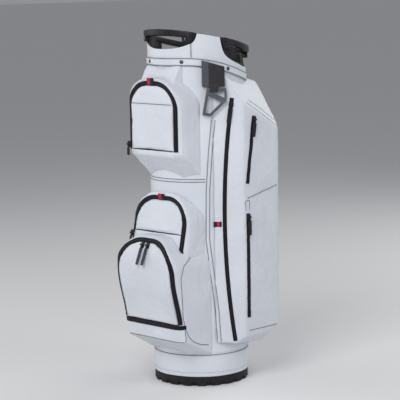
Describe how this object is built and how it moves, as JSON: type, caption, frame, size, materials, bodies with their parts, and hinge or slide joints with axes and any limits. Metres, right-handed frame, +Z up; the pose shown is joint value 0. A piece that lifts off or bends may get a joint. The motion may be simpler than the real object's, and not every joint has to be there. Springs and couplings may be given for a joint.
{
  "type": "golf bag",
  "caption": "Upright golf cart bag with a slanted divider top, moulded lift handles, zipped front and side pockets, towel hook and carry strap",
  "frame": {"origin": "centre of the base's flat underside, on the floor", "axes": "+Z up the bag, -Y to the front with the ball pocket, +X to the bag's right seen from the front"},
  "size_m": [0.3382, 0.3511, 0.8995],
  "materials": {
    "black_leatherette": "satin",
    "black_plastic": "matte",
    "black_rubber": "matte",
    "black_zip": "matte",
    "dark_metal": "satin",
    "divider_cloth": "matte",
    "foam": "matte",
    "grey_plastic": "matte",
    "ribbon": "matte",
    "rod_aluminium": "satin",
    "slider_black": "satin",
    "white_leatherette": "satin",
    "white_padded": "satin"
  },
  "bodies": {
    "bag": {"base_cup": "black_rubber", "base_pad": "foam", "base_sleeve": "white_leatherette", "tube_shell": "black_plastic", "body_cover": "white_padded", "stay_rods": "rod_aluminium", "collar_frame": "black_plastic", "front_handle": "black_plastic", "right_handle": "black_plastic", "left_handle": "black_plastic", "collar_screws": "dark_metal", "collar_wrap": "white_leatherette", "collar_band": "white_leatherette", "snap_studs": "dark_metal", "divider_long_bars": "black_plastic", "divider_short_bars": "black_plastic", "divider_sleeves": "divider_cloth", "upper_pocket": "white_padded", "upper_zip": "black_zip", "upper_ribbon": "ribbon", "middle_pocket": "white_padded", "middle_zip": "black_zip", "middle_ribbon": "ribbon", "ball_pocket": "white_padded", "ball_zip": "black_zip", "ball_binding": "black_zip", "right_pocket": "white_padded", "right_long_zip": "black_zip", "right_upper_zip": "black_zip", "right_lower_zip": "black_zip", "left_pocket": "white_padded", "left_long_zip": "black_zip", "side_ribbon": "ribbon", "strap_pad": "white_padded", "strap_webbing": "divider_cloth", "strap_upper_ring": "dark_metal", "strap_lower_ring": "dark_metal", "strap_upper_anchor": "dark_metal", "strap_lower_anchor": "dark_metal"},
    "upper_door": {"upper_flap": "white_padded"},
    "middle_door": {"middle_flap": "white_padded"},
    "ball_door": {"ball_panel": "white_padded"},
    "upper_slider": {"upper_slider": "slider_black"},
    "upper_pull": {"upper_pull": "slider_black"},
    "middle_slider": {"middle_slider": "slider_black"},
    "middle_pull": {"middle_pull": "slider_black"},
    "ball_left_slider": {"ball_left_slider": "slider_black"},
    "ball_left_pull": {"ball_left_pull": "slider_black"},
    "ball_right_slider": {"ball_right_slider": "slider_black"},
    "ball_right_pull": {"ball_right_pull": "slider_black"},
    "right_long_slider": {"right_long_slider": "slider_black"},
    "right_long_pull": {"right_long_pull": "slider_black"},
    "left_long_slider": {"left_long_slider": "slider_black"},
    "left_long_pull": {"left_long_pull": "slider_black"},
    "right_upper_slider": {"right_upper_slider": "slider_black"},
    "right_upper_pull": {"right_upper_pull": "slider_black"},
    "right_lower_slider": {"right_lower_slider": "slider_black"},
    "right_lower_pull": {"right_lower_pull": "slider_black"},
    "holster": {"holster": "black_leatherette"},
    "towel_hook": {"towel_hook": "grey_plastic"}
  },
  "joints": [
    {"name": "upper_door_fold", "type": "hinge", "parent": "bag", "child": "upper_door", "pos_m": [0, -0.16, 0.6024], "axis": [1, 0, 0], "range_deg": [0, 70]},
    {"name": "middle_door_fold", "type": "hinge", "parent": "bag", "child": "middle_door", "pos_m": [0, -0.14712, 0.3944], "axis": [1, 0, 0], "range_deg": [0, 60]},
    {"name": "ball_door_fold", "type": "hinge", "parent": "bag", "child": "ball_door", "pos_m": [0, -0.177, 0.1722], "axis": [1, 0, 0], "range_deg": [0, 75]},
    {"name": "upper_slider_run", "type": "slide", "parent": "bag", "child": "upper_slider", "axis": [0, 0, 1], "range_m": [0, 0.09]},
    {"name": "upper_pull_swing", "type": "hinge", "parent": "upper_slider", "child": "upper_pull", "pos_m": [-0.0804, -0.1665, 0.612], "axis": [-1, 0, 0], "range_deg": [0, 150]},
    {"name": "middle_slider_run", "type": "slide", "parent": "bag", "child": "middle_slider", "axis": [0, 0.1961, 0.9806], "range_m": [0, 0.028]},
    {"name": "middle_pull_swing", "type": "hinge", "parent": "middle_slider", "child": "middle_pull", "pos_m": [-0.088, -0.15557, 0.38527], "axis": [-1, 0, 0], "range_deg": [0, 150]},
    {"name": "ball_left_slider_run", "type": "slide", "parent": "ball_door", "child": "ball_left_slider", "axis": [-1, 0, 0], "range_m": [0, 0.02]},
    {"name": "ball_left_pull_swing", "type": "hinge", "parent": "ball_left_slider", "child": "ball_left_pull", "pos_m": [-0.009, -0.19431, 0.36752], "axis": [-1, 0, 0], "range_deg": [0, 150]},
    {"name": "ball_right_slider_run", "type": "slide", "parent": "ball_door", "child": "ball_right_slider", "axis": [1, 0, 0], "range_m": [0, 0.02]},
    {"name": "ball_right_pull_swing", "type": "hinge", "parent": "ball_right_slider", "child": "ball_right_pull", "pos_m": [0.009, -0.19431, 0.36752], "axis": [-1, 0, 0], "range_deg": [0, 150]},
    {"name": "right_long_slider_run", "type": "hinge", "parent": "bag", "child": "right_long_slider", "pos_m": [1.61268, 1.44768, 0.425], "axis": [0.7071, -0.7071, 0], "range_deg": [0, 15.93]},
    {"name": "left_long_slider_run", "type": "hinge", "parent": "bag", "child": "left_long_slider", "pos_m": [-1.61268, 1.44768, 0.425], "axis": [0.7071, 0.7071, 0], "range_deg": [0, 15.93]},
    {"name": "right_long_pull_swing", "type": "hinge", "parent": "right_long_slider", "child": "right_long_pull", "pos_m": [0.14628, -0.02791, 0.712], "axis": [-0.7005, -0.7005, 0.1367], "range_deg": [0, 150]},
    {"name": "left_long_pull_swing", "type": "hinge", "parent": "left_long_slider", "child": "left_long_pull", "pos_m": [-0.14628, -0.02791, 0.712], "axis": [-0.7005, 0.7005, -0.1367], "range_deg": [0, 150]},
    {"name": "right_upper_slider_run", "type": "slide", "parent": "bag", "child": "right_upper_slider", "axis": [0, -0.1489, -0.9888], "range_m": [0, 0.15]},
    {"name": "right_upper_pull_swing", "type": "hinge", "parent": "right_upper_slider", "child": "right_upper_pull", "pos_m": [0.1715, 0.0318, 0.672], "axis": [0, -0.9888, 0.1489], "range_deg": [0, 150]},
    {"name": "right_lower_slider_run", "type": "slide", "parent": "bag", "child": "right_lower_slider", "axis": [0, 0, -1], "range_m": [0, 0.243]},
    {"name": "right_lower_pull_swing", "type": "hinge", "parent": "right_lower_slider", "child": "right_lower_pull", "pos_m": [0.1715, 0.008, 0.429], "axis": [0, -1, 0], "range_deg": [0, 150]},
    {"name": "holster_swing", "type": "hinge", "parent": "bag", "child": "holster", "pos_m": [0.11738, -0.06081, 0.822], "axis": [-0.7071, -0.7071, 0], "range_deg": [0, 80]},
    {"name": "towel_hook_swing", "type": "hinge", "parent": "holster", "child": "towel_hook", "pos_m": [0.12162, -0.06223, 0.75], "axis": [-0.7071, -0.7071, 0], "range_deg": [0, 80]}
  ]
}
